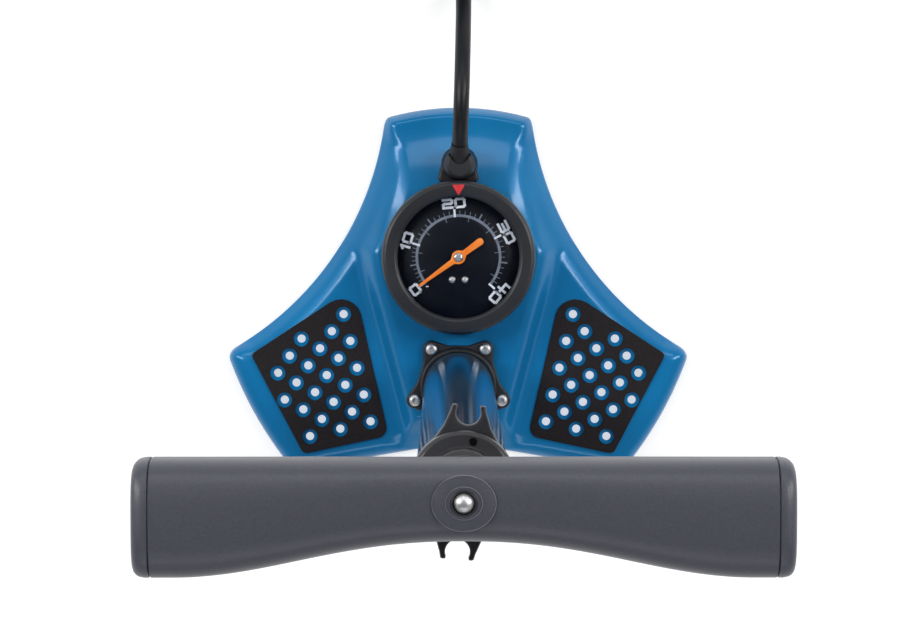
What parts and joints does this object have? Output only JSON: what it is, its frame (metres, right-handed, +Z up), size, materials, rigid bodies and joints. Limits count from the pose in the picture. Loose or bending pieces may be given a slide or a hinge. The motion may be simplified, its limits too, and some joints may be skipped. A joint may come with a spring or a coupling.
{
  "type": "double action hand pump",
  "caption": "Floor standing hand pump for tyres: three-lobed base with gauge and grip pads, upright barrel, wide two-hand handle, hose with lever head.",
  "frame": {"origin": "centre of the pump's footprint, on the floor (hose and head not counted)", "axes": "+Z up along the barrel, +Y to the front (gauge and hose side), +X to the right"},
  "size_m": [0.2694, 0.4016, 0.66],
  "materials": {
    "blue_paint": "satin blue paint",
    "blue_metal": "glossy blue lacquer over metal",
    "grip_tape": "gritty black",
    "rubber": "matt black",
    "black_plastic": "fine matt texture",
    "handle_plastic": "fine spark texture",
    "steel": "polished",
    "brass": "machined",
    "aluminium": "machined",
    "dial": "printed black",
    "needle": "orange paint",
    "marker": "red paint",
    "lens": "clear"
  },
  "bodies": {
    "pump_body": {"air_duct": "brass", "barrel": "blue_metal", "barrel_flange": "black_plastic", "base_shell": "blue_paint", "bourdon_socket": "brass", "bourdon_tube": "brass", "cylinder_head": "aluminium", "cylinder_liner": "aluminium", "dial_screw_1": "steel", "dial_screw_2": "steel", "flange_screw_1": "steel", "flange_screw_2": "steel", "flange_screw_3": "steel", "flange_screw_4": "steel", "flange_screw_5": "steel", "foot_front": "rubber", "foot_left": "rubber", "foot_right": "rubber", "gauge_case": "black_plastic", "gauge_dial": "dial", "gauge_lens": "lens", "gauge_stem": "brass", "grip_pad_left": "grip_tape", "grip_pad_right": "grip_tape", "head_body": "black_plastic", "head_collar": "aluminium", "head_gasket": "rubber", "hose": "rubber", "hose_coil": "rubber", "hose_gland": "black_plastic", "hose_relief": "rubber", "hose_tail": "rubber", "lever_pin": "steel", "movement_plate": "brass", "needle_stop": "steel", "outlet_spring": "steel", "rod_bushing": "brass", "rod_seal": "rubber", "top_cap": "black_plastic", "valve_block": "aluminium"},
    "piston": {"piston_head": "aluminium", "piston_cup_upper": "rubber", "piston_cup_lower": "rubber"},
    "handle_and_rod": {"piston_rod": "steel", "rod_bumper": "rubber", "handle_body": "handle_plastic", "handle_end_cap_left": "handle_plastic", "handle_end_cap_right": "handle_plastic", "handle_badge": "handle_plastic", "handle_bolt": "steel"},
    "bezel": {"gauge_bezel": "black_plastic", "bezel_marker": "marker"},
    "needle": {"gauge_needle": "needle", "needle_arbor": "steel"},
    "sector": {"sector_gear": "brass"},
    "outlet_valve": {"outlet_ball": "steel"},
    "intake_valve": {"intake_flap": "rubber"},
    "upper_intake_valve": {"upper_intake_flap": "rubber"},
    "lever": {"head_lever": "black_plastic"}
  },
  "joints": [
    {"name": "handle_slide", "type": "slide", "parent": "pump_body", "child": "piston", "axis": [0, 0, 1], "range_m": [0, 0.45]},
    {"name": "handle_turn", "type": "hinge", "parent": "piston", "child": "handle_and_rod", "pos_m": [0, -0.05542, 0.3], "axis": [0, 0, 1], "continuous": true},
    {"name": "bezel_turn", "type": "hinge", "parent": "pump_body", "child": "bezel", "pos_m": [0, 0.01998, 0.04], "axis": [0, 0, 1], "continuous": true},
    {"name": "needle_turn", "type": "hinge", "parent": "pump_body", "child": "needle", "pos_m": [0, 0.01998, 0.04], "axis": [0, 0, -1], "range_deg": [0, 258], "stiffness_Nm_per_rad": 0.0005},
    {"name": "sector_turn", "type": "hinge", "parent": "pump_body", "child": "sector", "pos_m": [0.0183, 0.01998, 0.037], "axis": [0, 0, 1], "range_deg": [0, 51.6]},
    {"name": "outlet_lift", "type": "slide", "parent": "pump_body", "child": "outlet_valve", "axis": [0, 1, 0], "range_m": [0, 0.0006], "stiffness_N_per_m": 40},
    {"name": "intake_lift", "type": "slide", "parent": "pump_body", "child": "intake_valve", "axis": [0, 0, 1], "range_m": [0, 0.001], "stiffness_N_per_m": 20},
    {"name": "upper_intake_lift", "type": "slide", "parent": "pump_body", "child": "upper_intake_valve", "axis": [0, 0, -1], "range_m": [0, 0.001], "stiffness_N_per_m": 20, "springref_m": -0.001},
    {"name": "lever_swing", "type": "hinge", "parent": "pump_body", "child": "lever", "pos_m": [0.102, 0.18458, 0.0104], "axis": [0, 0, 1], "range_deg": [0, 90]}
  ],
  "couplings": [
    {"joint": "sector_turn", "follows": "needle_turn", "ratio": 0.2}
  ]
}
